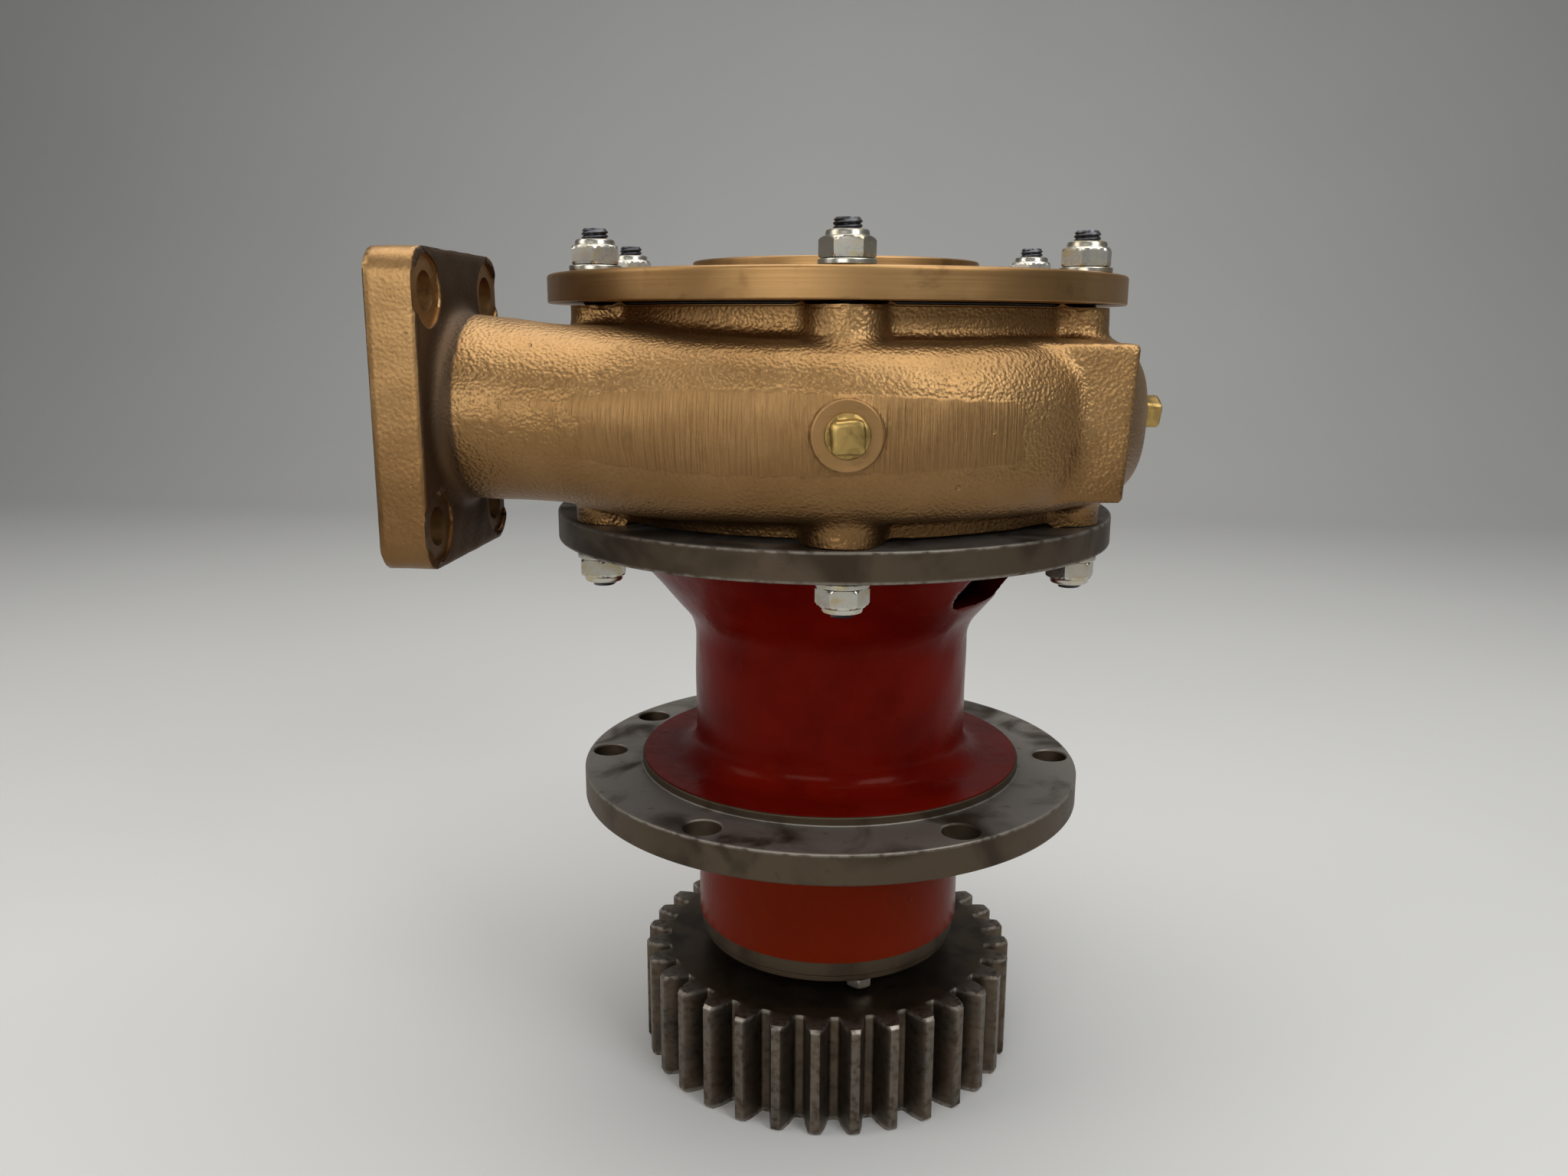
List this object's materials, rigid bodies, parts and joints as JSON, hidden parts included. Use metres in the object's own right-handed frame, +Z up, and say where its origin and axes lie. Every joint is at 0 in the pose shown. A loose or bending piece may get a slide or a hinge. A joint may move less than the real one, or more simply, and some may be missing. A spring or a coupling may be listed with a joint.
{
  "type": "centrifugal water pump",
  "caption": "Centrifugal water pump with a round volute casing, axial suction, tangential flanged outlet, flanged bearing housing and spur drive gear.",
  "frame": {"origin": "centre of the shaft's lower end, which is flush with the lower face of the drive gear, on the pump axis", "axes": "+Z up along the shaft towards the suction opening; -X along the outlet; -Y the side that carries the front plug"},
  "size_m": [0.2915, 0.2704, 0.365],
  "materials": {
    "cast_bronze": "satin sand-cast bronze, ground in places",
    "turned_bronze": "turned bronze with fine tool lines",
    "brass": "dull bar brass",
    "red_paint": "gloss red paint on cast iron, bare machined flanges",
    "dark_iron": "bare machined iron",
    "gear_steel": "dark oiled steel",
    "bright_steel": "turned steel",
    "stud_steel": "black threaded steel",
    "zinc_plate": "yellow-tinted zinc plate",
    "black_rubber": "matte",
    "seal_ceramic": "polished ceramic",
    "seal_carbon": "lapped carbon"
  },
  "bodies": {
    "pump_body": {"volute_casing": "cast_bronze", "inlet_cover": "turned_bronze", "cover_gasket": "black_rubber", "cover_wear_ring": "brass", "front_plug": "brass", "side_plug": "brass", "bearing_housing": "red_paint", "mounting_flange": "dark_iron", "top_flange": "dark_iron", "bearing_retainer": "dark_iron", "lower_bearing_outer": "bright_steel", "upper_bearing_outer": "bright_steel", "oil_seal": "black_rubber", "seal_carrier": "turned_bronze", "seal_seat": "seal_ceramic", "cover_stud_1": "stud_steel", "cover_stud_2": "stud_steel", "cover_stud_3": "stud_steel", "cover_stud_4": "stud_steel", "cover_stud_5": "stud_steel", "cover_stud_6": "stud_steel", "cover_nut_1": "zinc_plate", "cover_nut_2": "zinc_plate", "cover_nut_3": "zinc_plate", "cover_nut_4": "zinc_plate", "cover_nut_5": "zinc_plate", "cover_nut_6": "zinc_plate", "base_stud_1": "stud_steel", "base_stud_2": "stud_steel", "base_stud_3": "stud_steel", "base_stud_4": "stud_steel", "base_stud_5": "stud_steel", "base_stud_6": "stud_steel", "base_nut_1": "zinc_plate", "base_nut_2": "zinc_plate", "base_nut_3": "zinc_plate", "base_nut_4": "zinc_plate", "base_nut_5": "zinc_plate", "base_nut_6": "zinc_plate", "retainer_bolt_1": "bright_steel", "retainer_bolt_2": "bright_steel", "retainer_bolt_3": "bright_steel"},
    "rotor": {"pump_shaft": "bright_steel", "impeller": "cast_bronze", "impeller_nut": "brass", "impeller_washer": "bright_steel", "impeller_key": "bright_steel", "seal_head": "seal_carbon", "seal_spring": "bright_steel", "water_slinger": "black_rubber", "upper_bearing_inner": "bright_steel", "lower_bearing_inner": "bright_steel", "gear_spacer": "bright_steel", "drive_gear": "gear_steel", "gear_key": "bright_steel", "gear_washer": "bright_steel", "gear_nut": "bright_steel"},
    "lower_cage": {"lower_ball_cage": "brass"},
    "upper_cage": {"upper_ball_cage": "brass"}
  },
  "joints": [
    {"name": "rotor_spin", "type": "hinge", "parent": "pump_body", "child": "rotor", "pos_m": [0, 0, 0], "axis": [0, 0, 1], "continuous": true},
    {"name": "lower_cage_spin", "type": "hinge", "parent": "pump_body", "child": "lower_cage", "pos_m": [0, 0, 0.0715], "axis": [0, 0, 1], "continuous": true},
    {"name": "upper_cage_spin", "type": "hinge", "parent": "pump_body", "child": "upper_cage", "pos_m": [0, 0, 0.1765], "axis": [0, 0, 1], "continuous": true}
  ],
  "couplings": [
    {"joint": "lower_cage_spin", "follows": "rotor_spin", "ratio": 0.397},
    {"joint": "upper_cage_spin", "follows": "rotor_spin", "ratio": 0.397}
  ]
}
